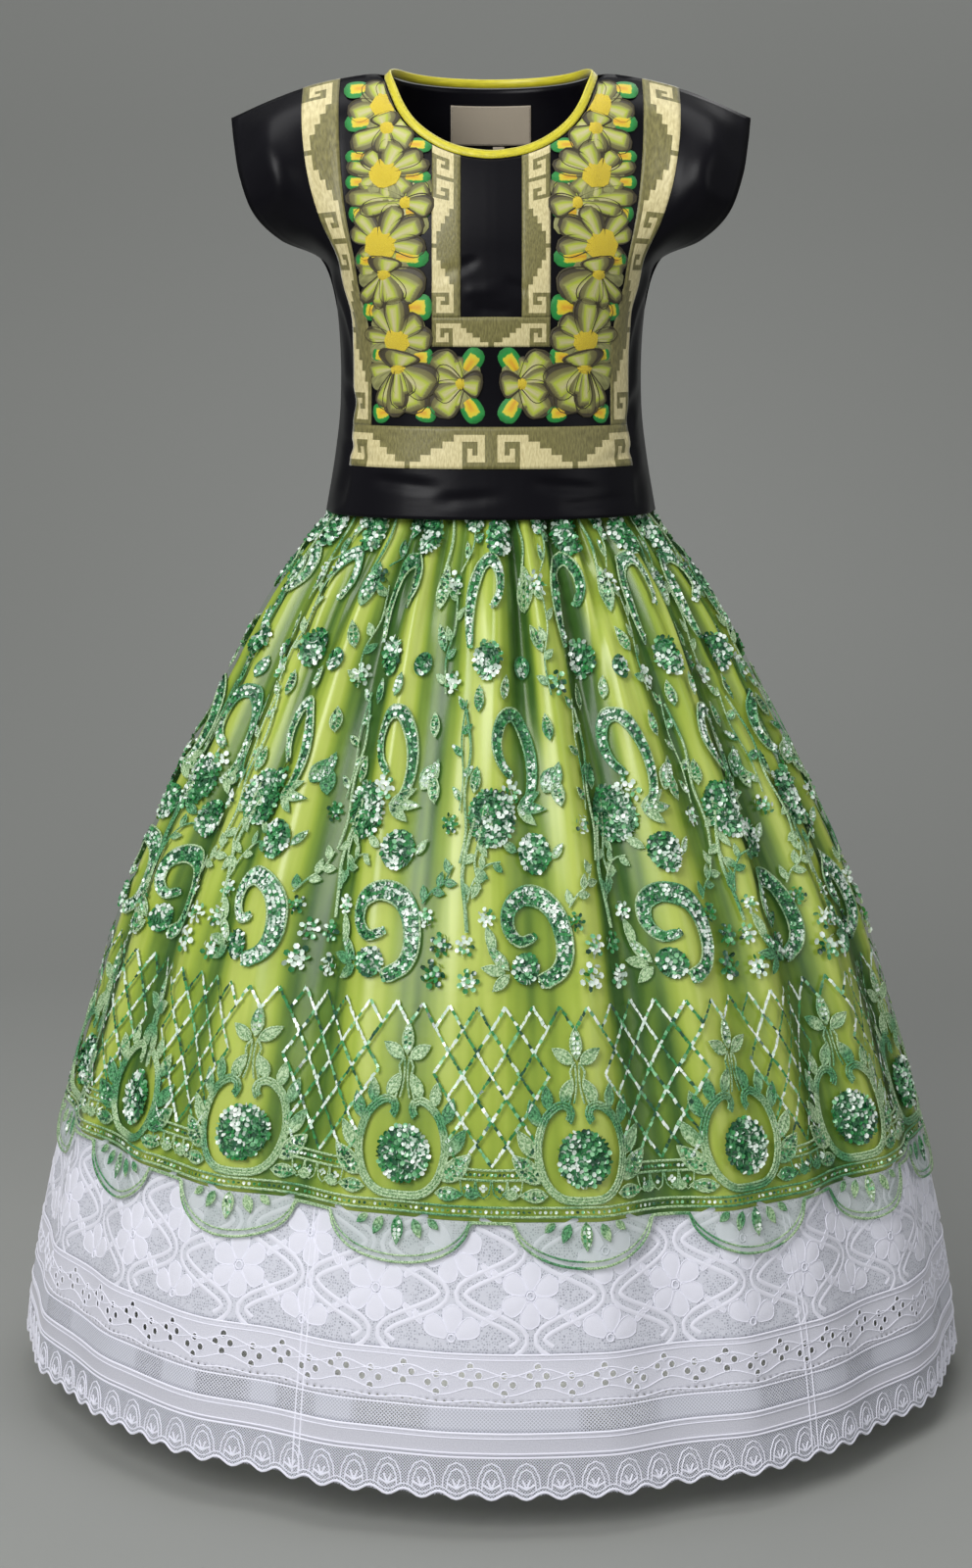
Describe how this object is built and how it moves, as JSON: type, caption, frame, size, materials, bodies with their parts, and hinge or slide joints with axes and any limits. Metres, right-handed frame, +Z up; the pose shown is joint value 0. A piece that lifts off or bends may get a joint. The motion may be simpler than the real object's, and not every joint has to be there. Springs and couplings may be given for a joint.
{
  "type": "embroidered blouse and skirt set",
  "caption": "Short-sleeved satin blouse with embroidered bands over a full gathered skirt under sequinned net, with a white lace flounce, in its worn hollow form.",
  "frame": {"origin": "centre of the skirt's waistband, where the wearer's waist holds the set", "axes": "+Z up through the neck, front faces -Y, +X is the picture's right"},
  "size_m": [0.969, 0.8932, 1.2924],
  "materials": {
    "black_satin": "black polyester satin with a soft grey-violet sheen",
    "yellow_binding": "yellow satin bias binding, stitched",
    "label_cloth": "blank taupe woven label",
    "fret_thread": "cream and olive satin stitch in stepped frets",
    "flower_thread": "lime, cream and olive satin stitch flowers with green and yellow leaves",
    "lime_satin": "lime satin with bright fold highlights",
    "green_net": "sheer green net with sequins and corded embroidery",
    "white_lace": "white floral lace, eyelet cloth and net",
    "white_ribbon": "plain white woven band"
  },
  "bodies": {
    "root": {"blouse_front": "black_satin", "blouse_back": "black_satin", "neck_binding": "yellow_binding", "neck_label": "label_cloth", "size_tab": "label_cloth", "fret_band_outer_left": "fret_thread", "fret_band_outer_right": "fret_thread", "fret_band_inner_left": "fret_thread", "fret_band_inner_right": "fret_thread", "fret_crossbar": "fret_thread", "fret_hem_band": "fret_thread", "flower_band_left": "flower_thread", "flower_band_right": "flower_thread", "waistband": "lime_satin", "skirt_satin_front": "lime_satin", "skirt_satin_back": "lime_satin", "skirt_net_overlay": "green_net", "flounce_lace": "white_lace", "flounce_eyelets_front": "white_lace", "flounce_eyelets_back": "white_lace", "flounce_net_insertion": "white_lace", "flounce_ribbon_band": "white_ribbon", "flounce_edge_lace": "white_lace"}
  },
  "joints": []
}
